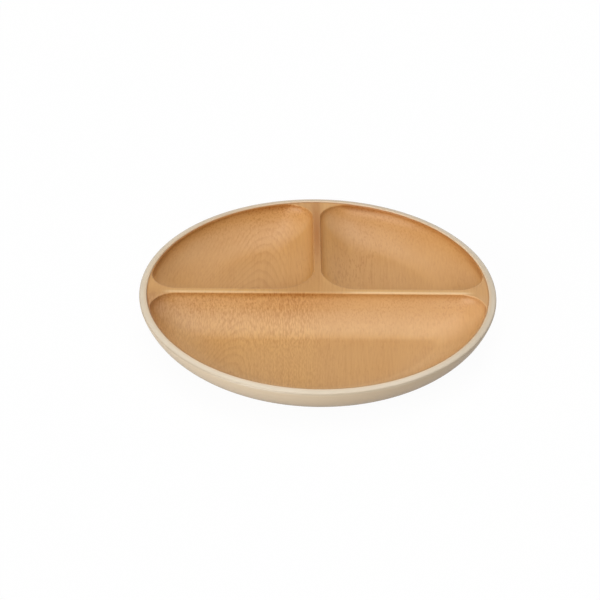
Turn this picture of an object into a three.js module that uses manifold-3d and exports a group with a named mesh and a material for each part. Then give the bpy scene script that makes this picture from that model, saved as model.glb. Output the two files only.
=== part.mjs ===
// Round lunch plate with three wells: a wooden tray bonded into a cream moulded shell.
// Millimetres, +Z up. The origin is the centre of the circle that the foot ring stands on,
// +X runs along the main divider and +Y points towards the two rear wells.
import * as THREE from "three";
import { mergeVertices } from "three/addons/utils/BufferGeometryUtils.js";
import Module from "manifold-3d";

const wasm = await Module();
wasm.setup();

const radians = THREE.MathUtils.degToRad;
const quarterTurn = Math.PI / 2;

// Rim
const plateDiameter = 240;
const rimWidth = 5;
const rimStand = 0.5; // crest of the rim above the wood
const rimFall = radians(10); // slope of the rim's top, down towards the outside
const rimInnerRound = 0.8;
const rimShoulderRound = 1.5;

// Shell
const shellWall = 2.2;
const shellFloor = 2.5;
const wallTopAngle = radians(17.5); // lean of the side wall from vertical under the rim
const wallFootAngle = radians(80); // and where it runs out above the foot
const footHeight = 1.5;
const footWidth = 5;
const footSetback = 2; // foot ring inside the end of the side wall
const footRound = 0.5;

// Tray
const trayFloor = 3.2;
const trayEdgeRound = 0.2;
const landFlat = 0.1; // flat wood between the tray's edge and a well's rounded edge
const dividerCrest = 3.8; // flat top of a divider
const wellDepth = 18.8;
const wellWallRun = 30; // from the edge of a well to its flat floor
const wellWallCurve = 1.75; // 2 would be an elliptic wall, 1 a straight slope
const wellEdgeRound = 0.8;
const wellCorner = 17.5; // plan radius of a well's corners at the rim
const wellInnerCorner = 25; // and where the dividers meet
const wellFloorCorner = 5; // and around its floor

// Joint between tray and shell
const trayClearance = 0.3;
const bondThickness = 0.5;
const bondPadDiameter = 36;
const bondPadReach = 55; // from the plate's axis to a pad's middle
const sealDrop = 2.2; // top of the seal groove below the wood
const sealHeight = 1.6;
const sealDepth = 1.2;
const sealClearance = 0.3;

// Facets
const facetSag = 0.06; // rounds in a profile stay this close to the true arc
const turnFacets = 80;
const cornerFacets = 6;
const edgeFacets = 3;
const wallFacets = 10;
const cutterRise = 2; // the well cutters reach this far above the wood

// Heights, from the foot up
const shellFloorTop = footHeight + shellFloor;
const trayBottom = shellFloorTop + bondThickness;
const landHeight = trayBottom + trayFloor + wellDepth;
const plateHeight = landHeight + rimStand;

// Radii, from the rim in
const plateRadius = plateDiameter / 2;
const rimInnerRadius = plateRadius - rimWidth;
const trayRadius = rimInnerRadius - trayClearance;
const wellRadius = trayRadius - trayEdgeRound - landFlat - wellEdgeRound;

// The rim's inner round and its shoulder share one tangent, which falls by rimFall
const innerRound = new THREE.Vector2(rimInnerRadius + rimInnerRound, plateHeight - rimInnerRound);
const shoulder = new THREE.Vector2(plateRadius - rimShoulderRound, innerRound.y);
const shoulderDrop =
  ((shoulder.x - innerRound.x) * Math.sin(rimFall) + rimShoulderRound - rimInnerRound) / Math.cos(rimFall);
shoulder.y -= shoulderDrop;

// The side wall is one arc that leaves the shoulder at wallTopAngle and ends over the foot at wallFootAngle
const wallTop = shoulder.y - rimShoulderRound * Math.sin(wallTopAngle);
const wallArc = (wallTop - footHeight) / (Math.sin(wallFootAngle) - Math.sin(wallTopAngle));
const wallCentre = new THREE.Vector2(
  shoulder.x - (wallArc - rimShoulderRound) * Math.cos(wallTopAngle),
  shoulder.y + (wallArc - rimShoulderRound) * Math.sin(wallTopAngle),
);
const footOuterRadius = wallCentre.x + wallArc * Math.cos(wallFootAngle) - footSetback;
const footInnerRadius = footOuterRadius - footWidth;

// The three wells as sectors between divider middles: turn is where a sector starts, span how wide it is
const wells = [
  { place: "front", turn: Math.PI, span: Math.PI },
  { place: "rear_right", turn: 0, span: quarterTurn },
  { place: "rear_left", turn: quarterTurn, span: quarterTurn },
];

// Points along a profile, with as many on each arc as facetSag asks for
function profilePoints(path) {
  const points = path.curves.flatMap((curve) => {
    if (!curve.isEllipseCurve) {
      return curve.getPoints(1);
    }
    const step = 2 * Math.acos(1 - facetSag / curve.xRadius);
    return curve.getPoints(Math.ceil(Math.abs(curve.aEndAngle - curve.aStartAngle) / step));
  });
  return points.filter((point, i) => i === 0 || point.distanceTo(points[i - 1]) > facetSag / 10);
}

// Solid of revolution about the Z axis from a profile in radius and height, drawn with its outside on the right
function turned(path) {
  return new THREE.LatheGeometry(profilePoints(path), turnFacets).rotateX(quarterTurn);
}

function solidFrom(geometry) {
  const bare = geometry.clone().deleteAttribute("normal").deleteAttribute("uv");
  const merged = mergeVertices(bare);
  const mesh = new wasm.Mesh({
    numProp: 3,
    vertProperties: new Float32Array(merged.attributes.position.array),
    triVerts: new Uint32Array(merged.index.array),
  });
  return new wasm.Manifold(mesh);
}

function geometryFrom(solid) {
  const mesh = solid.getMesh();
  const geometry = new THREE.BufferGeometry();
  geometry.setAttribute("position", new THREE.BufferAttribute(mesh.vertProperties, 3));
  geometry.setIndex(new THREE.BufferAttribute(mesh.triVerts, 1));
  geometry.computeVertexNormals();
  return geometry;
}

// Closed solid through a stack of rings, from the top one down, each ring counter-clockwise from above
function lofted(rings) {
  const count = rings[0].length;
  const indices = [];
  for (let ring = 0; ring < rings.length - 1; ring += 1) {
    for (let i = 0; i < count; i += 1) {
      const here = ring * count + i;
      const next = ring * count + ((i + 1) % count);
      indices.push(here, here + count, next, next, here + count, next + count);
    }
  }
  const last = (rings.length - 1) * count;
  for (const [a, b, c] of THREE.ShapeUtils.triangulateShape(rings[0], [])) {
    indices.push(a, b, c);
  }
  for (const [a, b, c] of THREE.ShapeUtils.triangulateShape(rings.at(-1), [])) {
    indices.push(last + a, last + c, last + b);
  }
  const geometry = new THREE.BufferGeometry().setFromPoints(rings.flat());
  geometry.setIndex(indices);
  return geometry;
}

// Outline of a well in plan at some inset from its edge, starting at the corner beside the first divider
function wellOutline(span, inset, corner, innerCorner) {
  const rim = wellRadius - inset;
  const fromDivider = dividerCrest / 2 + wellEdgeRound + inset;
  const lead = Math.asin((fromDivider + corner) / (rim - corner));
  const onCircle = (angle) => [(rim - corner) * Math.cos(angle), (rim - corner) * Math.sin(angle)];
  const arc = (x, y, radius, from, to) => new THREE.EllipseCurve(x, y, radius, radius, from, to);
  const rimFacets = Math.round((turnFacets * span) / (2 * Math.PI));
  const outline = [
    ...arc(...onCircle(lead), corner, -quarterTurn, lead).getPoints(cornerFacets).slice(0, -1),
    ...arc(0, 0, rim, lead, span - lead).getPoints(rimFacets).slice(0, -1),
    ...arc(...onCircle(span - lead), corner, span - lead, span + quarterTurn).getPoints(cornerFacets),
  ];
  if (span < Math.PI) {
    const inner = (fromDivider + innerCorner) / Math.sin(span / 2);
    const [x, y] = [inner * Math.cos(span / 2), inner * Math.sin(span / 2)];
    outline.push(...arc(x, y, innerCorner, span + quarterTurn, 3 * quarterTurn).getPoints(cornerFacets));
  }
  return outline;
}

// Inset and height down a well's wall: the rounded edge, then a steep curve that flattens into the floor
function wellSection() {
  const edge = new THREE.EllipseCurve(
    -wellEdgeRound, -wellEdgeRound, wellEdgeRound, wellEdgeRound, quarterTurn, 0, true,
  );
  const power = 2 / wellWallCurve;
  const wall = Array.from({ length: wallFacets + 1 }, (_, i) => {
    const angle = (quarterTurn * i) / wallFacets;
    const inset = wellWallRun * (1 - Math.cos(angle) ** power);
    const drop = (wellDepth - wellEdgeRound) * Math.sin(angle) ** power;
    return new THREE.Vector2(inset, -wellEdgeRound - drop);
  });
  return [
    new THREE.Vector2(-wellEdgeRound, cutterRise),
    ...edge.getPoints(edgeFacets).slice(0, -1),
    ...wall,
  ];
}

function wellCutter({ turn, span }) {
  const axis = new THREE.Vector2();
  const rings = wellSection().map(({ x: inset, y: height }) => {
    const share = Math.max(inset, 0) / wellWallRun;
    const [corner, innerCorner] = [wellCorner, wellInnerCorner].map(
      (radius) => THREE.MathUtils.lerp(radius, wellFloorCorner, share) - Math.min(inset, 0),
    );
    return wellOutline(span, inset, corner, innerCorner).map((point) => {
      const { x, y } = point.rotateAround(axis, turn);
      return new THREE.Vector3(x, y, landHeight + height);
    });
  });
  return solidFrom(lofted(rings));
}

// Turned blank that drops into the shell, with the three wells cut out of it
function trayGeometry() {
  const seat = wallArc - shellWall - trayClearance;
  const blank = new THREE.Path();
  blank.moveTo(0, trayBottom);
  blank.lineTo(0, trayBottom);
  blank.absarc(
    wallCentre.x, wallCentre.y, seat,
    -Math.asin((wallCentre.y - trayBottom) / seat),
    -Math.acos((trayRadius - wallCentre.x) / seat),
  );
  blank.absarc(trayRadius - trayEdgeRound, landHeight - trayEdgeRound, trayEdgeRound, 0, quarterTurn);
  blank.lineTo(0, landHeight);
  const solid = wells.reduce((rest, well) => rest.subtract(wellCutter(well)), solidFrom(turned(blank)));
  return geometryFrom(solid);
}

// Rim, side wall, floor and foot ring in one moulding, with the seal's groove inside the rim
function shellGeometry() {
  const inside = wallArc - shellWall;
  const grooveTop = landHeight - sealDrop;
  const grooveBottom = grooveTop - sealHeight - 2 * sealClearance;
  const grooveRadius = rimInnerRadius + sealDepth + sealClearance;
  const footBlend = footHeight - footRound;
  const profile = new THREE.Path();
  profile.moveTo(0, footHeight);
  profile.lineTo(footInnerRadius - footRound, footHeight);
  profile.absarc(footInnerRadius - footRound, footBlend, footRound, quarterTurn, 0, true);
  profile.absarc(footInnerRadius + footRound, footRound, footRound, Math.PI, 3 * quarterTurn);
  profile.absarc(footOuterRadius - footRound, footRound, footRound, -quarterTurn, 0);
  profile.absarc(footOuterRadius + footRound, footBlend, footRound, Math.PI, quarterTurn, true);
  profile.absarc(wallCentre.x, wallCentre.y, wallArc, -wallFootAngle, -wallTopAngle);
  profile.absarc(shoulder.x, shoulder.y, rimShoulderRound, -wallTopAngle, 0);
  profile.absarc(shoulder.x, shoulder.y, rimShoulderRound, 0, quarterTurn - rimFall);
  profile.absarc(innerRound.x, innerRound.y, rimInnerRound, quarterTurn - rimFall, quarterTurn);
  profile.absarc(innerRound.x, innerRound.y, rimInnerRound, quarterTurn, Math.PI);
  profile.lineTo(rimInnerRadius, grooveTop);
  profile.lineTo(grooveRadius, grooveTop);
  profile.lineTo(grooveRadius, grooveBottom);
  profile.lineTo(rimInnerRadius, grooveBottom);
  profile.absarc(
    wallCentre.x, wallCentre.y, inside,
    -Math.acos((rimInnerRadius - wallCentre.x) / inside),
    -Math.asin((wallCentre.y - shellFloorTop) / inside),
    true,
  );
  profile.lineTo(0, shellFloorTop);
  return turned(profile);
}

// Ring of sealant in the shell's groove, flush with the wall that the tray's edge faces
function sealGeometry() {
  const top = landHeight - sealDrop - sealClearance;
  const bottom = top - sealHeight;
  const inner = rimInnerRadius;
  const outer = rimInnerRadius + sealDepth;
  const bead = new THREE.Path();
  bead.moveTo(inner, bottom);
  bead.lineTo(outer, bottom);
  bead.lineTo(outer, top);
  bead.lineTo(inner, top);
  bead.lineTo(inner, bottom);
  return turned(bead);
}

// Pressed dot of adhesive with a bulging edge
function bondPadGeometry() {
  const bulge = bondThickness / 2;
  const dot = new THREE.Path();
  dot.moveTo(0, 0);
  dot.lineTo(bondPadDiameter / 2 - bulge, 0);
  dot.absarc(bondPadDiameter / 2 - bulge, bulge, bulge, -quarterTurn, quarterTurn);
  dot.lineTo(0, bondThickness);
  return new THREE.LatheGeometry(profilePoints(dot), turnFacets / 2).rotateX(quarterTurn);
}

const cream = new THREE.MeshStandardMaterial({ color: 0xe3d6c0, roughness: 0.45, metalness: 0 });
const wood = new THREE.MeshStandardMaterial({ color: 0xc89660, roughness: 0.5, metalness: 0 });
const sealant = new THREE.MeshStandardMaterial({ color: 0xf0eadf, roughness: 0.6, metalness: 0 });
const adhesive = new THREE.MeshStandardMaterial({ color: 0xd8c79c, roughness: 0.5, metalness: 0 });

function piece(name, geometry, material) {
  const mesh = new THREE.Mesh(geometry, material.clone());
  mesh.name = name;
  return mesh;
}

const lunchPlate = new THREE.Group();
lunchPlate.name = "lunch_plate";
lunchPlate.add(
  piece("outer_shell", shellGeometry(), cream),
  piece("wood_tray", trayGeometry(), wood),
  piece("rim_seal_bead", sealGeometry(), sealant),
);

for (const { place, turn, span } of wells) {
  const pad = piece(`floor_bond_pad_${place}`, bondPadGeometry(), adhesive);
  const middle = turn + span / 2;
  pad.position.set(bondPadReach * Math.cos(middle), bondPadReach * Math.sin(middle), shellFloorTop);
  lunchPlate.add(pad);
}

export default lunchPlate;
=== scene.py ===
import bpy
import bmesh
import math
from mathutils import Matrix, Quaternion, Vector


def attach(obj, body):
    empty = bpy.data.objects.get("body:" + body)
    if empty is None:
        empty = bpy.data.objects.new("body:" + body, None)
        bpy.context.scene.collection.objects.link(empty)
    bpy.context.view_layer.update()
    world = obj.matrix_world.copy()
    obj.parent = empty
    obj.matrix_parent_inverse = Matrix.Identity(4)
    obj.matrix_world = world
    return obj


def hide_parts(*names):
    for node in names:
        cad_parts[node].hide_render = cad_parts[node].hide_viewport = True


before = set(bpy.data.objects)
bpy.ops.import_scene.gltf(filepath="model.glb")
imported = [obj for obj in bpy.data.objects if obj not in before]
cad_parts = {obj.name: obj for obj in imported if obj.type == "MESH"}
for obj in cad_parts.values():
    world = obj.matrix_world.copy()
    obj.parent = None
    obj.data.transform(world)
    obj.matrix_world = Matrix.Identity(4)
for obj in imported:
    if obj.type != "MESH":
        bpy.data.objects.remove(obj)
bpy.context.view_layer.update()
mm = 0.001
print("frame loaded:", ", ".join(sorted(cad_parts)))


# Node trees: a wired value with Python operators, and one method for every node

class Wire:
    def __init__(self, net, socket):
        self.net = net
        self.socket = socket

    def math(self, operation, other=None, swap=False):
        inputs = {0: self} if other is None else ({0: other, 1: self} if swap else {0: self, 1: other})
        return self.net.node("ShaderNodeMath", {"operation": operation}, inputs)

    def __add__(self, other):
        return self.math("ADD", other)

    def __radd__(self, other):
        return self.math("ADD", other, True)

    def __sub__(self, other):
        return self.math("SUBTRACT", other)

    def __rsub__(self, other):
        return self.math("SUBTRACT", other, True)

    def __mul__(self, other):
        return self.math("MULTIPLY", other)

    def __rmul__(self, other):
        return self.math("MULTIPLY", other, True)

    def __truediv__(self, other):
        return self.math("DIVIDE", other)

    def __rtruediv__(self, other):
        return self.math("DIVIDE", other, True)

    def __pow__(self, other):
        return self.math("POWER", other)

    def __rpow__(self, other):
        return self.math("POWER", other, True)

    def out(self, name):
        return Wire(self.net, self.socket.node.outputs[name])


class Net:
    def __init__(self, tree):
        self.tree = tree

    def node(self, kind, settings=None, sockets=None, out=0):
        made = self.tree.nodes.new(kind)
        for name, value in (settings or {}).items():
            setattr(made, name, value)
        for name, value in (sockets or {}).items():
            if isinstance(value, Wire):
                self.tree.links.new(value.socket, made.inputs[name])
            else:
                made.inputs[name].default_value = value
        return Wire(self, made.outputs[out]) if made.outputs else made

    def mixColour(self, factor, first, second):
        return self.node("ShaderNodeMix", {"data_type": "RGBA"}, {0: factor, 6: first, 7: second}, 2)

    def clamp(self, value):
        return self.node("ShaderNodeClamp", {}, {0: value})

    # a soft step from one value to another, which may run downwards
    def smooth(self, value, low, high, start=0.0, end=1.0):
        settings = {"interpolation_type": "SMOOTHSTEP"}
        return self.node("ShaderNodeMapRange", settings, {0: value, 1: low, 2: high, 3: start, 4: end})

    def bell(self, value, centre, width):
        off = (value - centre) / width
        return (off * off * -1.0).math("EXPONENT")

    def spot(self, x, y, places):
        return self.bell(x, *places[0]) * self.bell(y, *places[1])

    def noise(self, vector, stretch, detail, roughness):
        scaled = self.node("ShaderNodeVectorMath", {"operation": "MULTIPLY"}, {0: vector, 1: stretch})
        sockets = {"Vector": scaled, "Scale": 1.0, "Detail": detail, "Roughness": roughness}
        return self.node("ShaderNodeTexNoise", {}, sockets)


def rgb(red, green, blue):
    def linear(value):
        value /= 255
        return value / 12.92 if value <= 0.04045 else ((value + 0.055) / 1.055) ** 2.4
    return (linear(red), linear(green), linear(blue), 1.0)


def newFinish(name):
    material = bpy.data.materials.new(name)
    material.use_nodes = True
    material.node_tree.nodes.clear()
    return material, Net(material.node_tree)


def endFinish(net, look, colour, texture, roughness):
    rough = (texture - 0.5) * look["roughSpread"] + roughness
    strength, depth = look["bump"]
    bump = net.node("ShaderNodeBump", {}, {"Strength": strength, "Distance": depth, "Height": texture})
    shader = net.node("ShaderNodeBsdfPrincipled", {}, {
        "Base Color": colour, "Roughness": rough, "Normal": bump, "Specular IOR Level": look["specular"]})
    net.node("ShaderNodeOutputMaterial", {}, {"Surface": shader})


def millimetres(net):
    place = net.node("ShaderNodeTexCoord", {}, {}, "Object")
    return net.node("ShaderNodeVectorMath", {"operation": "SCALE"}, {0: place, "Scale": 1 / mm})


# Wood of the tray: rings over a slanted pith, fibres, flecks, tones that follow the cut surface, and painted
# shade, light and highlights

# Lengths are in mm. A step is (from, to), or also its values at both ends. A line is (centre, width),
# and a spot is a line along X and one along Y. A noise is its cells per mm, detail and roughness.
woodLook = {
    "gold": rgb(211, 160, 93),
    "rose": rgb(213, 168, 114),
    "deep": rgb(150, 88, 28),
    "heart": rgb(164, 98, 22),
    # colour of the painted highlight on the front edges
    "paintedHighlight": rgb(244, 212, 165),
    "heartShare": 0.9,
    "streak": ((0.0, 3.74), (74.0, 42.0)),       # of heartwood along the rear divider
    "fibre": ((0.75, 0.02, 0.75), 4.0, 0.65),
    "roughness": 0.36,
    "roughSpread": 0.15,
    "bump": (0.08, 0.0002),                      # strength, and depth in metres
    "specular": 0.28,
    "crossCut": (0.25, 0.8),                     # end grain at which a wall counts as cut across
    "ridgeStart": (8.0, 35.0),                   # stretch of the main divider, to both sides
    "ridgeEnd": (110.0, 98.0),
    "top": (1.0, 0.3),                           # depth under the land
    "middle": ((-18.0, 30.0), (8.0, 24.5)),      # round the place where the dividers meet
    "rings": {
        "pith": (-46.8, 0.0),                    # a point on the line over which the rings turn
        "slant": math.radians(8.4),              # of that line, clockwise from the plate's Y
        "depth": 12.0,                           # of that line, under the plate
        "drape": 0.35,                           # share of the height by which the rings shift on the walls
        "rise": 0.2,                             # of the rings along the pith, so that they cut in arches
        "riseWidth": 54.8,
        "gap": 2.1,
        "sway": 9.0,
        "swayNoise": ((0.02, 0.012, 0.02), 2.0, 0.4),
        "waver": 1.6,
        "waverNoise": ((0.2, 0.05, 0.2), 2.0, 0.5),
        "late": (0.4, 0.85),                     # shares of a gap between which a ring darkens
        "lateEnd": (1.0, 0.9),
        "broken": (0.35, 0.65),
        "brokenNoise": ((0.4, 0.03, 0.4), 2.0, 0.5),
        "pithWidth": 26.46,
        "pithWhole": 0.7,                        # how far the lines near the pith stay whole
        "crossLoss": 0.7,                        # of the lines on walls cut across
        "shade": 0.055,
        "archShade": 0.1,                        # added near the pith
    },
    "flecks": {
        "fibreShade": 0.36,
        "pore": ((0.85, 0.16, 0.85), 1.0, 0.5),
        "poreDark": (0.5, 0.66),
        "poreShade": 0.17,
        "poreSpot": ((22.0, 22.36), (58.0, 30.0)),   # in the rear right well
        "poreToLeft": (20.0, -20.0, 0.5, 1.0),   # on walls cut across
        "patch": ((0.035, 0.035, 0.035), 1.0, 0.5),
        "patchPores": (0.4, 0.65, 0.0, 0.5),
        "speck": ((1.2, 0.22, 0.4), 1.0, 0.5),   # short lines in the front well
        "speckDark": (0.35, 0.65, -0.5, 0.5),
        "speckShade": 0.32,
        "speckLine": (-16.0, 21.21),
        "speckToLeft": (-10.0, -50.0, 0.0, 0.6),
        "speckStart": (0.0, -4.0),
        "speckToFront": (-25.0, -50.0, 1.0, 0.6),
    },
    "tones": {
        "baseShade": 0.145,
        "cloud": ((0.03, 0.012, 0.03), 3.0, 0.5),
        "cloudShade": 0.20,
        "endShade": 0.085,                       # on walls that cut the fibres across
        "browPaintedShade": 0.22,                       # painted shade under the edges of the wells
        "browStart": (5.0, 0.8),                 # depths under the land
        "browEnd": (0.05, 0.3),
        "browCut": (0.8, 0.99),
        "browRim": (95.0, 108.0, 0.0, 0.3),
        "floorPaintedShade": 0.045,                     # painted shade on the floors of the wells
        "floorEdge": (0.4, 0.02),                # heights over the floor
        "floorToRight": (-60.0, 10.0, 0.4, 1.0),
        "footPaintedLight": 0.08,                       # painted light just above the floor of the front well
        "footHeight": (6.0, 1.0),
        "footStart": (-5.0, -20.0),
        "seamPaintedShade": 0.24,                       # painted shade beside the shell
        "seamReach": (113.6, 114.4),
        "seamToRear": (20.0, 50.0, 1.0, 2.0),
        "rimReach": (112.6, 113.6),
        "rimEdge": (0.02, 0.12),
        "rimRear": (35.0, 60.0),
        "rimAside": (30.0, 60.0, 0.0, 0.9),
        "rearShade": 0.08,
        "rearStart": (2.0, 30.0),
        # painted shade near the rim on the right
        "rightPaintedShade": 0.05,
        "rightReach": (75.0, 112.0),
        "rightStart": (20.0, 80.0),
        "leftPaintedShade": 0.40,                       # painted shade towards the left end, on walls that face away from the light
        "leftStart": (-90.0, -116.0),
        "leftToRear": (-10.0, 8.0, 1.0, 0.2),
        "nearPaintedShade": 0.14,                       # painted shade on the wall of the front well that turns away
        "nearReach": (84.0, 97.0),
        "nearStart": (-55.0, -80.0),
        "middleShade": 0.24,
        "crestLight": 0.12,                      # along the main divider
        "crestLine": (0.0, 3.0),
        "besidePaintedLight": 0.15,                     # painted light on the wall to the right of the rear divider
        "besideLine": (6.5, 4.243),
        "besideStart": (4.0, 22.0),
    },
    "pale": {                                    # how far gold turns to rose
        "base": 0.3,
        "tone": ((0.02, 0.014, 0.02), 1.0, 0.5),
        "toneShare": 0.8,
        "toRight": 0.001,                        # for each mm
        "lowStart": (0.03, 0.5),                 # heights over the floor, for a painted sheen low on the walls cut across
        "lowEnd": (15.0, 6.0),
        "lowCut": (0.05, 0.3, 0.0, 0.6),
        "middleLoss": 0.4,
        "frontStart": (0.0, -12.0),
        "frontRim": (75.0, 100.0, 0.0, 0.6),
        "frontCut": 0.25,
    },
    # painted highlight along the front edges of the main divider and the front well
    "edgeHighlight": {
        "lipLine": (-1.7, 1.183),                # front edge of the main divider
        "lipLeast": 0.3,                         # where the divider meets the rear one
        "lipEnd": (108.0, 98.0),
        "lipGap": (-20.0, 30.0),
        "gapLoss": 0.6,
        "edgeLeast": 0.1,
        "edgeRidge": 0.3,
        "toRight": (-20.0, 70.0, 0.45, 0.6),
    },
}


class TrayPlace:
    def __init__(self, net, floorHeight, landHeight):
        look = woodLook
        self.point = millimetres(net)
        axes = net.node("ShaderNodeSeparateXYZ", {}, {0: self.point})
        self.x, self.y, self.z = axes, axes.out("Y"), axes.out("Z")
        self.aside = self.x.math("ABSOLUTE")
        self.reach = (self.x * self.x + self.y * self.y) ** 0.5
        self.overFloor = self.z - floorHeight
        self.underLand = landHeight - self.z
        self.endGrain = net.node("ShaderNodeAttribute", {"attribute_name": "endGrain"}, {}, "Fac")
        # strength of the painted highlight on the edges of the front well
        self.edge = net.node("ShaderNodeAttribute", {"attribute_name": "paintedHighlightEdge"}, {}, "Fac")
        self.crossCut = net.smooth(self.endGrain, *look["crossCut"])
        self.ridge = net.smooth(self.aside, *look["ridgeStart"]) * net.smooth(self.aside, *look["ridgeEnd"])
        self.top = net.smooth(self.underLand, *look["top"])
        self.middle = net.spot(self.x, self.y, look["middle"])


def woodRings(net, at):
    look = woodLook["rings"]
    turnCos, turnSin = math.cos(look["slant"]), math.sin(look["slant"])
    offX, offY = at.x - look["pith"][0], at.y - look["pith"][1]
    across = offX * turnCos - offY * turnSin
    along = offY * turnCos + offX * turnSin
    height = at.z * look["drape"] + look["depth"]
    lean = along * look["rise"] * net.bell(across.math("MAXIMUM", 0.0), 0.0, look["riseWidth"])
    sway = (net.noise(at.point, *look["swayNoise"]) - 0.5) * look["sway"]
    waver = (net.noise(at.point, *look["waverNoise"]) - 0.5) * look["waver"]
    ring = (across * across + height * height) ** 0.5 + lean + sway + waver
    phase = (ring / look["gap"]).math("FRACT")
    nearPith = net.bell(across, 0.0, look["pithWidth"])
    broken = net.smooth(net.noise(at.point, *look["brokenNoise"]), *look["broken"])
    line = net.smooth(phase, *look["late"]) * net.smooth(phase, *look["lateEnd"])
    line = line * broken.math("MAXIMUM", nearPith * look["pithWhole"])
    line = line * (1.0 - at.crossCut * look["crossLoss"])
    return line * (nearPith * look["archShade"] + look["shade"])


def woodFlecks(net, at, fibre):
    look = woodLook["flecks"]
    pore = net.smooth(net.noise(at.point, *look["pore"]), *look["poreDark"])
    pores = net.spot(at.x, at.y, look["poreSpot"]) + at.crossCut * net.smooth(at.x, *look["poreToLeft"])
    pores = pores + net.smooth(net.noise(at.point, *look["patch"]), *look["patchPores"])
    speck = net.smooth(net.noise(at.point, *look["speck"]), *look["speckDark"])
    specks = net.bell(at.x, *look["speckLine"]) + net.smooth(at.x, *look["speckToLeft"])
    specks = specks * net.smooth(at.y, *look["speckStart"]) * net.smooth(at.y, *look["speckToFront"])
    shade = (fibre - 0.5) * look["fibreShade"] + pore * pores * look["poreShade"]
    return shade + speck * specks * look["speckShade"]


def woodTones(net, at):
    look = woodLook["tones"]
    cloud = net.noise(at.point, *look["cloud"]) - 0.5
    shade = cloud * look["cloudShade"] + at.crossCut * look["endShade"] + look["baseShade"]

    # Painted shade under the edges and on the floors of the wells, and painted light just above the floor of
    # the front well
    brow = net.smooth(at.underLand, *look["browStart"]) * net.smooth(at.underLand, *look["browEnd"])
    brow = brow * net.smooth(at.endGrain, *look["browCut"]).math(
        "MAXIMUM", net.smooth(at.reach, *look["browRim"]))
    shade = shade + brow * look["browPaintedShade"]
    floor = net.smooth(at.overFloor, *look["floorEdge"])
    foot = net.smooth(at.overFloor, *look["footHeight"]) * net.smooth(at.y, *look["footStart"])
    bottom = floor * look["floorPaintedShade"] - foot * (1.0 - floor) * look["footPaintedLight"]
    shade = shade + bottom * net.smooth(at.x, *look["floorToRight"])

    # Painted shade beside the shell, where the rim stands over the wood
    rim = net.smooth(at.reach, *look["rimReach"]) * net.smooth(at.underLand, *look["rimEdge"])
    rim = rim * (1.0 - net.smooth(at.y, *look["rimRear"]) * net.smooth(at.aside, *look["rimAside"]))
    seam = net.smooth(at.reach, *look["seamReach"]) * net.smooth(at.y, *look["seamToRear"])
    shade = shade + seam.math("MAXIMUM", rim) * look["seamPaintedShade"]

    # Parts of the board, with painted shade near the rim on the right, at the left end and on the near wall
    # of the front well, and painted light beside the rear divider
    right = net.smooth(at.reach, *look["rightReach"]) * net.smooth(at.x, *look["rightStart"])
    left = net.smooth(at.x, *look["leftStart"]) * net.smooth(at.y, *look["leftToRear"])
    near = net.smooth(at.reach, *look["nearReach"]) * net.smooth(at.y, *look["nearStart"])
    shade = shade + right * look["rightPaintedShade"] + left * look["leftPaintedShade"] + near * look["nearPaintedShade"]
    shade = shade + net.smooth(at.y, *look["rearStart"]) * look["rearShade"] + at.middle * look["middleShade"]
    crest = net.bell(at.y, *look["crestLine"]) * at.ridge * at.top
    beside = net.bell(at.x, *look["besideLine"]) * net.smooth(at.y, *look["besideStart"])
    return shade - crest * look["crestLight"] - beside * look["besidePaintedLight"]


def woodPale(net, at):
    look = woodLook["pale"]
    tone = net.noise(at.point, *look["tone"]) - 0.5
    pale = tone * look["toneShare"] + at.x * look["toRight"] + look["base"]
    # A painted sheen: paler low on the walls cut across
    low = net.smooth(at.overFloor, *look["lowStart"]) * net.smooth(at.overFloor, *look["lowEnd"])
    pale = pale + low * net.smooth(at.endGrain, *look["lowCut"]) - at.middle * look["middleLoss"]
    front = net.smooth(at.reach, *look["frontRim"]) + at.crossCut * look["frontCut"]
    return pale + front * net.smooth(at.y, *look["frontStart"])


# Painted highlight along the front edge of the main divider and the edges of the front well
def woodHighlight(net, at):
    look = woodLook["edgeHighlight"]
    lip = net.bell(at.y, *look["lipLine"]) * at.top * net.smooth(at.aside, *look["lipEnd"])
    lip = lip * (at.ridge * (1.0 - look["lipLeast"]) + look["lipLeast"])
    lip = lip * (1.0 - net.bell(at.x, *look["lipGap"]) * look["gapLoss"])
    edge = at.edge * (at.ridge * look["edgeRidge"] + look["edgeLeast"])
    return lip.math("MAXIMUM", edge) * net.smooth(at.x, *look["toRight"])


def makeWood(floorHeight, landHeight):
    look = woodLook
    material, net = newFinish("beechTray")
    at = TrayPlace(net, floorHeight, landHeight)
    fibre = net.noise(at.point, *look["fibre"])
    shade = woodRings(net, at) + woodFlecks(net, at, fibre) + woodTones(net, at)
    colour = net.mixColour(net.clamp(woodPale(net, at)), look["gold"], look["rose"])
    colour = net.mixColour(net.clamp(shade), colour, look["deep"])
    colour = net.mixColour(net.spot(at.x, at.y, look["streak"]) * look["heartShare"], colour, look["heart"])
    # the painted highlight
    colour = net.mixColour(woodHighlight(net, at), colour, look["paintedHighlight"])
    endFinish(net, look, colour, fibre, look["roughness"])
    return material


# Cream satin moulding of the shell, with painted reflections of the wood, painted light and shade, and steps,
# lines and noises given as for the wood

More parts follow.
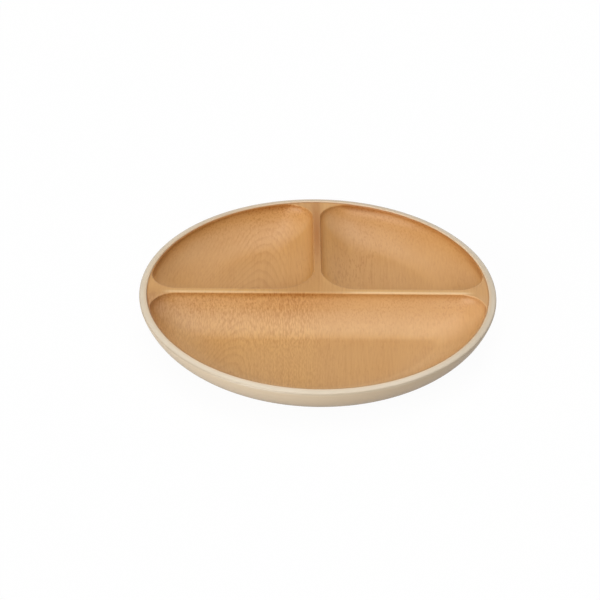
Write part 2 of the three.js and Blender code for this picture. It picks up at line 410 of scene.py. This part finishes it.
shellLook = {
    "cream": rgb(215, 200, 177),
    "creamDeep": rgb(210, 194, 169),
    "cloud": ((0.03, 0.03, 0.03), 3.0, 0.5),
    "cloudDeep": (0.3, 0.7),
    "lip": rgb(214, 188, 152),                   # painted reflection of the wood on the inner edge of the rim
    "lipReach": (118.0, 115.4, 0.0, 0.8),
    "lipHeight": (24.0, 26.0),
    "warm": rgb(190, 156, 118),                  # painted reflection of the wood on the rear of the rim
    "warmStart": (60.0, 112.0, 0.0, 0.3),
    # painted light on the side wall, under the rim
    "wall": rgb(222, 206, 181),
    "wallStart": (25.2, 24.4),
    "creaseShade": rgb(184, 168, 145),                # painted shade under the edge of the rim
    "creaseLine": (25.8, 0.447),
    "creaseReach": (117.5, 118.8, 0.0, 0.8),
    "low": rgb(154, 140, 121),                   # painted shade underneath, low on the wall
    "lowStart": (13.0, 5.5, 0.0, 0.8),
    "grain": ((1.6, 1.6, 1.6), 2.0, 0.5),
    "roughness": 0.22,
    "roughSpread": 0.12,
    "bump": (0.05, 0.0001),
    "specular": 0.5,
}


def makeCream():
    look = shellLook
    material, net = newFinish("creamShell")
    place = millimetres(net)
    axes = net.node("ShaderNodeSeparateXYZ", {}, {0: place})
    x, y, z = axes, axes.out("Y"), axes.out("Z")
    reach = (x * x + y * y) ** 0.5
    deep = net.smooth(net.noise(place, *look["cloud"]), *look["cloudDeep"])
    colour = net.mixColour(deep, look["cream"], look["creamDeep"])
    # Painted reflections of the wood on the rim, painted light on the wall, and painted shade in the crease
    # and underneath
    lip = net.smooth(reach, *look["lipReach"]) * net.smooth(z, *look["lipHeight"])
    colour = net.mixColour(lip, colour, look["lip"])
    colour = net.mixColour(net.smooth(y, *look["warmStart"]), colour, look["warm"])
    colour = net.mixColour(net.smooth(z, *look["wallStart"]), colour, look["wall"])
    creaseShade = net.bell(z, *look["creaseLine"]) * net.smooth(reach, *look["creaseReach"])
    colour = net.mixColour(creaseShade, colour, look["creaseShade"])
    colour = net.mixColour(net.smooth(z, *look["lowStart"]), colour, look["low"])
    endFinish(net, look, colour, net.noise(place, *look["grain"]), look["roughness"])
    return material


# Sealant and adhesive, hidden between the two

bondLook = {
    "sealant": rgb(236, 230, 219),
    "sealantRough": 0.55,
    "adhesive": rgb(214, 196, 152),
    "adhesiveRough": 0.5,
    "darker": 0.86,                              # share of the colour that is left on the lumps
    "lumps": ((0.4, 0.4, 0.4), 3.0, 0.6),
    "lumpStart": (0.3, 0.8),
    "roughSpread": 0.2,
    "bump": (0.2, 0.0002),
    "specular": 0.5,
}


def makeBond(name):
    look = bondLook
    material, net = newFinish(name)
    lumps = net.noise(millimetres(net), *look["lumps"])
    base = look[name]
    dark = (*[v * look["darker"] for v in base[:3]], 1.0)
    colour = net.mixColour(net.smooth(lumps, *look["lumpStart"]), base, dark)
    endFinish(net, look, colour, lumps, look[name + "Rough"])
    return material


# Turned pieces: a profile in radius and height, swept round the Z axis by a node tree

turnRule = {
    "samePoint": 1e-5,                           # mm
    "weld": 1e-6,                                # m
    "sharpAngle": math.radians(35),
}


def arcPoints(centre, radius, start, end, steps):
    angles = [start + (end - start) * (i / steps) for i in range(steps + 1)]
    return [(centre[0] + radius * math.cos(a), centre[1] + radius * math.sin(a)) for a in angles]


def cleanProfile(points):
    kept = [points[0]]
    for point in points[1:]:
        if math.dist(point, kept[-1]) > turnRule["samePoint"]:
            kept.append(point)
    return kept


def makeRevolve():
    tree = bpy.data.node_groups.new("plateRevolve", "GeometryNodeTree")
    inputs = {
        "Profile": "Geometry", "Turn Steps": "Int", "Centre": "Vector", "Weld Distance": "Float",
        "Finish": "Material"}
    for name, kind in inputs.items():
        tree.interface.new_socket(name, in_out="INPUT", socket_type="NodeSocket" + kind)
    tree.interface.new_socket("Turned Piece", in_out="OUTPUT", socket_type="NodeSocketGeometry")
    net = Net(tree)
    given = net.node("NodeGroupInput", {}, {}, "Profile")
    count = net.node("GeometryNodeAttributeDomainSize", {"component": "MESH"}, {0: given})
    grid = net.node("GeometryNodeMeshGrid", {}, {
        "Size X": 1.0, "Size Y": 1.0, "Vertices X": given.out("Turn Steps") + 1.0, "Vertices Y": count})
    place = net.node("GeometryNodeInputPosition")
    sheet = net.node("ShaderNodeSeparateXYZ", {}, {0: place})
    turn = (sheet + 0.5) * (2 * math.pi)
    row = ((sheet.out("Y") + 0.5) * (count - 1.0)).math("ROUND")
    picked = net.node("GeometryNodeSampleIndex", {"data_type": "FLOAT_VECTOR", "domain": "POINT"}, {
        "Geometry": given, "Value": place, "Index": row})
    profile = net.node("ShaderNodeSeparateXYZ", {}, {0: picked})
    swept = net.node("ShaderNodeCombineXYZ", {}, {
        0: profile * turn.math("COSINE"), 1: profile * turn.math("SINE"), 2: profile.out("Z")})
    moved = net.node("ShaderNodeVectorMath", {"operation": "ADD"}, {0: swept, 1: given.out("Centre")})
    body = net.node("GeometryNodeSetPosition", {}, {"Geometry": grid, "Position": moved})
    body = net.node("GeometryNodeMergeByDistance", {}, {
        "Geometry": body, "Distance": given.out("Weld Distance")})
    body = net.node("GeometryNodeSetShadeSmooth", {}, {"Geometry": body})
    body = net.node("GeometryNodeRealizeInstances", {}, {"Geometry": body})
    body = net.node("GeometryNodeSetMaterial", {}, {"Geometry": body, "Material": given.out("Finish")})
    net.node("NodeGroupOutput", {}, {"Turned Piece": body})
    return tree


def linkPiece(name, mesh):
    made = bpy.data.objects.new(name, mesh)
    bpy.context.scene.collection.objects.link(made)
    return made


def settle(mesh, sharpAngle):
    body = bmesh.new()
    body.from_mesh(mesh)
    bmesh.ops.recalc_face_normals(body, faces=body.faces)
    body.to_mesh(mesh)
    body.free()
    mesh.shade_smooth()
    mesh.set_sharp_from_angle(angle=sharpAngle)


def turnPiece(name, tree, points, steps, centre, material):
    line = bpy.data.meshes.new(name + "Line")
    places = [(radius * mm, 0.0, height * mm) for radius, height in points]
    line.from_pydata(places, [(i, i + 1) for i in range(len(places) - 1)], [])
    source = linkPiece(name + "Source", line)
    modifier = source.modifiers.new("revolve", "NODES")
    modifier.node_group = tree
    sizes = {
        "Turn Steps": steps, "Centre": [v * mm for v in centre], "Weld Distance": turnRule["weld"],
        "Finish": material}
    for item in tree.interface.items_tree:
        if item.item_type == "SOCKET" and item.in_out == "INPUT" and item.name in sizes:
            modifier[item.identifier] = sizes[item.name]
    graph = bpy.context.evaluated_depsgraph_get()
    mesh = bpy.data.meshes.new_from_object(source.evaluated_get(graph), depsgraph=graph)
    source.modifiers.remove(modifier)
    bpy.data.objects.remove(source)
    settle(mesh, turnRule["sharpAngle"])
    return linkPiece(name, mesh)


# Shell: rim, side wall, floor and foot ring

shellSize = {
    "radius": 120.0,
    "rimInner": 115.0,
    "crest": 27.0,
    "rimFall": math.radians(10),
    "innerRound": 0.8,
    "shoulderRound": 1.5,
    "wall": 2.2,
    "floorTop": 4.0,
    "wallTop": math.radians(17.5),
    "wallFoot": math.radians(80),
    "footHeight": 1.5,
    "footWidth": 5.0,
    "footSetback": 2.0,
    "footRound": 0.5,
    "grooveTop": 24.3,
    "grooveBottom": 22.1,
    "grooveRadius": 116.5,
    "turnSteps": 288,
    "roundSteps": 8,
    "wallSteps": 36,
}


def wallArc(size):
    inner = (size["rimInner"] + size["innerRound"], size["crest"] - size["innerRound"])
    shoulderX = size["radius"] - size["shoulderRound"]
    drop = (shoulderX - inner[0]) * math.sin(size["rimFall"]) + size["shoulderRound"] - size["innerRound"]
    shoulder = (shoulderX, inner[1] - drop / math.cos(size["rimFall"]))
    top = shoulder[1] - size["shoulderRound"] * math.sin(size["wallTop"])
    arc = (top - size["footHeight"]) / (math.sin(size["wallFoot"]) - math.sin(size["wallTop"]))
    reach = arc - size["shoulderRound"]
    centre = (
        shoulder[0] - reach * math.cos(size["wallTop"]),
        shoulder[1] + reach * math.sin(size["wallTop"]))
    return inner, shoulder, arc, centre


def shellProfile(size):
    inner, shoulder, arc, centre = wallArc(size)
    quarter = math.pi / 2
    rounds, walls = size["roundSteps"], size["wallSteps"]
    footOuter = centre[0] + arc * math.cos(size["wallFoot"]) - size["footSetback"]
    footInner = footOuter - size["footWidth"]
    foot, high = size["footRound"], size["footHeight"]
    inside = arc - size["wall"]
    points = [(0.0, high)]
    points += arcPoints((footInner - foot, high - foot), foot, quarter, 0, rounds)
    points += arcPoints((footInner + foot, foot), foot, math.pi, 3 * quarter, rounds)
    points += arcPoints((footOuter - foot, foot), foot, -quarter, 0, rounds)
    points += arcPoints((footOuter + foot, high - foot), foot, math.pi, quarter, rounds)
    points += arcPoints(centre, arc, -size["wallFoot"], -size["wallTop"], walls)
    points += arcPoints(shoulder, size["shoulderRound"], -size["wallTop"], 0, rounds // 2)
    points += arcPoints(shoulder, size["shoulderRound"], 0, quarter - size["rimFall"], 2 * rounds)
    points += arcPoints(inner, size["innerRound"], quarter - size["rimFall"], quarter, rounds // 2)
    points += arcPoints(inner, size["innerRound"], quarter, math.pi, 2 * rounds)
    points += [(size["rimInner"], size["grooveTop"]), (size["grooveRadius"], size["grooveTop"])]
    points += [(size["grooveRadius"], size["grooveBottom"]), (size["rimInner"], size["grooveBottom"])]
    innerTop = -math.acos((size["rimInner"] - centre[0]) / inside)
    innerFoot = -math.asin((centre[1] - size["floorTop"]) / inside)
    points += arcPoints(centre, inside, innerTop, innerFoot, walls)
    points.append((0.0, size["floorTop"]))
    return cleanProfile(points)


revolve = makeRevolve()
cream = makeCream()
shell = turnPiece("creamShell", revolve, shellProfile(shellSize), shellSize["turnSteps"], (0, 0, 0), cream)
print("shell turned:", len(shell.data.polygons), "faces")


# Seal bead and bond pads

bondSize = {
    "sealInner": 115.0,
    "sealOuter": 116.2,
    "sealBottom": 22.4,
    "sealTop": 24.0,
    "sealRound": 0.3,
    "sealSteps": 288,
    "sealRoundSteps": 4,
    "padRadius": 18.0,
    "padReach": 55.0,
    "padBottom": 4.0,
    "padThick": 0.5,
    "padSteps": 96,
    "padRoundSteps": 8,
    "padTurns": {"front": -math.pi / 2, "rear_right": math.pi / 4, "rear_left": 3 * math.pi / 4},
}


def sealProfile(size):
    inner, outer, low, high = size["sealInner"], size["sealOuter"], size["sealBottom"], size["sealTop"]
    soft, steps, quarter = size["sealRound"], size["sealRoundSteps"], math.pi / 2
    points = arcPoints((inner + soft, low + soft), soft, -2 * quarter, -quarter, steps)
    points += arcPoints((outer - soft, low + soft), soft, -quarter, 0, steps)
    points += arcPoints((outer - soft, high - soft), soft, 0, quarter, steps)
    points += arcPoints((inner + soft, high - soft), soft, quarter, 2 * quarter, steps)
    points.append(points[0])
    return cleanProfile(points)


def padProfile(size):
    bulge = size["padThick"] / 2
    edge = arcPoints(
        (size["padRadius"] - bulge, bulge), bulge, -math.pi / 2, math.pi / 2, size["padRoundSteps"])
    return cleanProfile([(0.0, 0.0), *edge, (0.0, size["padThick"])])


def padCentre(size, turn):
    return (size["padReach"] * math.cos(turn), size["padReach"] * math.sin(turn), size["padBottom"])


sealant = makeBond("sealant")
adhesive = makeBond("adhesive")
bead = turnPiece("sealBead", revolve, sealProfile(bondSize), bondSize["sealSteps"], (0, 0, 0), sealant)
pads = {}
for padName, padTurn in bondSize["padTurns"].items():
    pads[padName] = turnPiece(
        "bondPad_" + padName, revolve, padProfile(bondSize), bondSize["padSteps"],
        padCentre(bondSize, padTurn), adhesive)
print("bead and pads turned:", 1 + len(pads))


# Tray: a turned outside and three lofted wells that meet in the flat land

traySize = {
    "radius": 114.95,
    "bottom": 4.5,
    "land": 26.5,
    "edgeRound": 0.08,
    "clearance": 0.3,
    "crest": 3.8,
    "wellRadius": 114.0,
    "wellDepth": 18.8,
    "wellRun": 30.0,
    "wallCurve": 1.75,                           # 2 would be an elliptic wall, 1 a straight slope
    "wellRound": 0.8,
    "wellCorner": 17.5,
    "innerCorner": 25.0,                         # where the dividers meet
    "floorCorner": 5.0,
    "fibre": (0.08, 0.997),                      # direction of the fibres in the plan
    "highlightFrom": -26.0,                           # places along Y between which the painted highlight on the edge begins
    "highlightTo": -10.0,
    "wells": {                                   # turn and span, and how strong the painted highlight on the edge is
        "front": (math.pi, math.pi, 1.0),
        "rearRight": (0.0, math.pi / 2, 0.0),
        "rearLeft": (math.pi / 2, math.pi / 2, 0.0),
    },
    "turnSteps": 288,
    "cornerSteps": 18,
    "roundSteps": 6,
    "wallSteps": 30,
    "sideSteps": 24,
    "edgeSteps": 4,
    "sharpAngle": math.radians(30),
    "flatNormal": 0.99999,                       # a face that points this far up or down is shaded flat
}


def wellOutline(size, span, inset, corner, innerCorner):
    rim = size["wellRadius"] - inset
    line = size["crest"] / 2 + size["wellRound"] + inset
    lead = math.asin((line + corner) / (rim - corner))
    quarter = math.pi / 2
    steps = size["cornerSteps"]
    rimSteps = round(size["turnSteps"] * span / (2 * math.pi))
    first = ((rim - corner) * math.cos(lead), (rim - corner) * math.sin(lead))
    last = ((rim - corner) * math.cos(span - lead), (rim - corner) * math.sin(span - lead))
    points = arcPoints(first, corner, -quarter, lead, steps)[:-1]
    points += arcPoints((0.0, 0.0), rim, lead, span - lead, rimSteps)[:-1]
    points += arcPoints(last, corner, span - lead, span + quarter, steps)
    if span < math.pi:
        inner = (line + innerCorner) / math.sin(span / 2)
        middle = (inner * math.cos(span / 2), inner * math.sin(span / 2))
        points += arcPoints(middle, innerCorner, span + quarter, 3 * quarter, steps)
    return points


def wellSection(size):
    edge, run, depth = size["wellRound"], size["wellRun"], size["wellDepth"]
    rounds, power = size["roundSteps"], 2 / size["wallCurve"]
    section = []
    for i in range(rounds):
        angle = i * math.pi / 2 / rounds
        section.append((-edge + edge * math.sin(angle), -edge + edge * math.cos(angle)))
    for i in range(size["wallSteps"] + 1):
        angle = i / size["wallSteps"] * math.pi / 2
        inset = run * (1 - math.cos(angle) ** power)
        section.append((inset, -edge - (depth - edge) * math.sin(angle) ** power))
    return section


def bridge(body, rings):
    count = len(rings[0])
    for upper, lower in zip(rings, rings[1:]):
        for i in range(count):
            j = (i + 1) % count
            body.faces.new((upper[i], lower[i], lower[j], upper[j]))
    body.faces.new(rings[-1])


def addWell(body, size, well, paintedHighlight):
    turn, span, highlightShare = well
    turnCos, turnSin = math.cos(turn), math.sin(turn)
    rings = []
    for step, (inset, height) in enumerate(wellSection(size)):
        share = max(inset, 0.0) / size["wellRun"]
        corner, innerCorner = [
            radius + (size["floorCorner"] - radius) * share - min(inset, 0.0)
            for radius in (size["wellCorner"], size["innerCorner"])]
        # strength of the painted highlight on the rounded edge
        edgeHighlight = math.sin(math.pi * min(step / size["roundSteps"], 1.0)) * highlightShare
        ring = []
        for x, y in wellOutline(size, span, inset, corner, innerCorner):
            place = (x * turnCos - y * turnSin, x * turnSin + y * turnCos, size["land"] + height)
            vertex = body.verts.new([v * mm for v in place])
            begun = (place[1] - size["highlightFrom"]) / (size["highlightTo"] - size["highlightFrom"])
            vertex[paintedHighlight] = edgeHighlight * min(max(begun, 0.0), 1.0)
            ring.append(vertex)
        rings.append(ring)
    bridge(body, rings)
    return rings[0]


def addOutside(body, size, shellPlan):
    arc, centre = wallArc(shellPlan)[2:]
    seat = arc - shellPlan["wall"] - size["clearance"]
    soft = size["edgeRound"]
    profile = arcPoints((size["radius"] - soft, size["land"] - soft), soft, math.pi / 2, 0, size["edgeSteps"])
    high = -math.acos((size["radius"] - centre[0]) / seat)
    low = -math.asin((centre[1] - size["bottom"]) / seat)
    profile += arcPoints(centre, seat, high, low, size["sideSteps"])
    angles = [2 * math.pi * i / size["turnSteps"] for i in range(size["turnSteps"])]
    rings = []
    for radius, height in profile:
        rings.append([
            body.verts.new([radius * math.cos(a) * mm, radius * math.sin(a) * mm, height * mm])
            for a in angles])
    bridge(body, rings)
    return rings[0]


def makeTray(size, shellPlan, material):
    body = bmesh.new()
    # a layer for the painted highlight on the edges
    paintedHighlight = body.verts.layers.float.new("paintedHighlightEdge")
    loops = [addWell(body, size, well, paintedHighlight) for well in size["wells"].values()]
    loops.append(addOutside(body, size, shellPlan))
    border = []
    for loop in loops:
        for i, vertex in enumerate(loop):
            after = loop[(i + 1) % len(loop)]
            border.append(body.edges.get((vertex, after)) or body.edges.new((vertex, after)))
    bmesh.ops.triangle_fill(body, edges=border, use_beauty=True, normal=(0, 0, 1))
    mesh = bpy.data.meshes.new("woodTray")
    body.to_mesh(mesh)
    body.free()
    mesh.materials.append(material)
    settle(mesh, size["sharpAngle"])
    for face in mesh.polygons:
        face.use_smooth = abs(face.normal.z) < size["flatNormal"]
    endGrain = mesh.attributes.new("endGrain", "FLOAT", "POINT")
    fibreX, fibreY = size["fibre"]
    for vertex in mesh.vertices:
        endGrain.data[vertex.index].value = abs(vertex.normal.x * fibreX + vertex.normal.y * fibreY)
    return linkPiece("woodTray", mesh)


wood = makeWood(traySize["land"] - traySize["wellDepth"], traySize["land"])
tray = makeTray(traySize, shellSize, wood)
print("tray lofted:", len(tray.data.polygons), "faces")

for piece, node, slot in (
    (shell, "outer_shell", "cream_shell"),
    (tray, "wood_tray", "tray_wood"),
    (bead, "rim_seal_bead", "sealant"),
    (pads["front"], "floor_bond_pad_front", "adhesive"),
    (pads["rear_right"], "floor_bond_pad_rear_right", "adhesive"),
    (pads["rear_left"], "floor_bond_pad_rear_left", "adhesive"),
):
    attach(piece, "root")
    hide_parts(node)
print("pieces placed")


# Studio: white floor that keeps a faint shadow, broad soft lamps and the camera

studio = {
    "white": (1.0, 1.0, 1.0, 1.0),
    "floorSize": 8.0,
    "floorHeight": -0.0001,                      # a hair under the foot ring
    "floorColour": (0.97, 0.97, 0.97, 1.0),
    "floorBounce": (0.52, 0.44, 0.35, 1.0),      # light that it throws back on the plate
    "floorWhite": 0.96,                          # how much of the floor is plain white to the camera
    "floorSheen": 0.3,                           # the same in reflections, as a share of that
    "worldFill": 0.05,
    "lampSpread": math.radians(45),
    "lampReach": 2.0,
    "lamps": {                                   # turn from the plate's X, height, light on a facing surface
        "frontLeft": (225.0, 15.0, 0.66),
        "right": (0.0, 45.0, 0.155),
        "front": (257.0, 35.0, 0.275),
        "rear": (90.0, 65.0, 0.205),
        "overhead": (0.0, 90.0, 0.27),
    },
}


def whiteRays(net, sheen):
    light = net.node("ShaderNodeLightPath", {}, {}, "Is Camera Ray")
    mirrored = light.out("Is Glossy Ray").math("MAXIMUM", light.out("Is Transmission Ray"))
    return light.math("MAXIMUM", mirrored * sheen)


def makeFloor():
    half, low = studio["floorSize"] / 2, studio["floorHeight"]
    mesh = bpy.data.meshes.new("studioFloor")
    corners = [(-half, -half, low), (half, -half, low), (half, half, low), (-half, half, low)]
    mesh.from_pydata(corners, [], [(0, 1, 2, 3)])
    material, net = newFinish("floorWhite")
    shown = whiteRays(net, studio["floorSheen"])
    plain = net.node("ShaderNodeBsdfDiffuse", {}, {
        "Color": net.mixColour(shown, studio["floorBounce"], studio["floorColour"])})
    white = net.node("ShaderNodeEmission", {}, {"Color": studio["white"], "Strength": 1.0})
    seen = net.node("ShaderNodeMixShader", {}, {0: shown * studio["floorWhite"], 1: plain, 2: white})
    net.node("ShaderNodeOutputMaterial", {}, {"Surface": seen})
    mesh.materials.append(material)
    linkPiece("studioFloor", mesh)


def makeWorld():
    world = bpy.data.worlds.new("studioWorld")
    world.use_nodes = True
    world.node_tree.nodes.clear()
    net = Net(world.node_tree)
    strength = whiteRays(net, 1.0) * (1.0 - studio["worldFill"]) + studio["worldFill"]
    sky = net.node("ShaderNodeBackground", {}, {"Color": studio["white"], "Strength": strength})
    net.node("ShaderNodeOutputWorld", {}, {"Surface": sky})
    bpy.context.scene.world = world


def makeLamps():
    for name, (turn, height, light) in studio["lamps"].items():
        data = bpy.data.lights.new(name, "SUN")
        data.angle = studio["lampSpread"]
        data.energy = light * math.pi
        turn, height = math.radians(turn), math.radians(height)
        level = math.cos(height)
        towards = Vector((math.cos(turn) * level, math.sin(turn) * level, math.sin(height)))
        made = linkPiece(name, data)
        made.location = towards * studio["lampReach"]
        made.rotation_mode = "QUATERNION"
        made.rotation_quaternion = towards.to_track_quat("Z", "Y")


cameraView = {
    "target": (0.0, 0.0, 25.08),                 # plate axis at its widest circle, mm
    "distance": 1.824,                           # m
    "elevation": math.radians(33.1),
    "yaw": math.radians(1.2),
    "roll": math.radians(1.1),
    "focalPixels": 2711.2,
    "targetPixel": (317.82, 292.61),
    "imagePixels": 600.0,
    "sensor": 36.0,
    "clip": (0.05, 50.0),
}


def makeCamera():
    look = cameraView
    data = bpy.data.cameras.new("photoCamera")
    data.sensor_fit = "HORIZONTAL"
    data.sensor_width = look["sensor"]
    data.lens = look["focalPixels"] / look["imagePixels"] * look["sensor"]
    data.clip_start, data.clip_end = look["clip"]
    level = math.cos(look["elevation"])
    back = Vector((
        -math.sin(look["yaw"]) * level, -math.cos(look["yaw"]) * level, math.sin(look["elevation"])))
    half = look["imagePixels"] / 2
    right = math.atan((look["targetPixel"][0] - half) / look["focalPixels"])
    above = math.atan((half - look["targetPixel"][1]) / look["focalPixels"])
    camera = linkPiece("photoCamera", data)
    camera.location = Vector(look["target"]) * mm + back * look["distance"]
    camera.rotation_mode = "QUATERNION"
    camera.rotation_quaternion = (
        (-back).to_track_quat("-Z", "Y")
        @ Quaternion((0, 0, 1), look["roll"])
        @ Quaternion((0, 1, 0), right)
        @ Quaternion((1, 0, 0), -above)
    )
    bpy.context.scene.camera = camera


makeFloor()
makeWorld()
makeLamps()
makeCamera()
bpy.context.scene.view_settings.view_transform = "Standard"
print("studio and camera set")
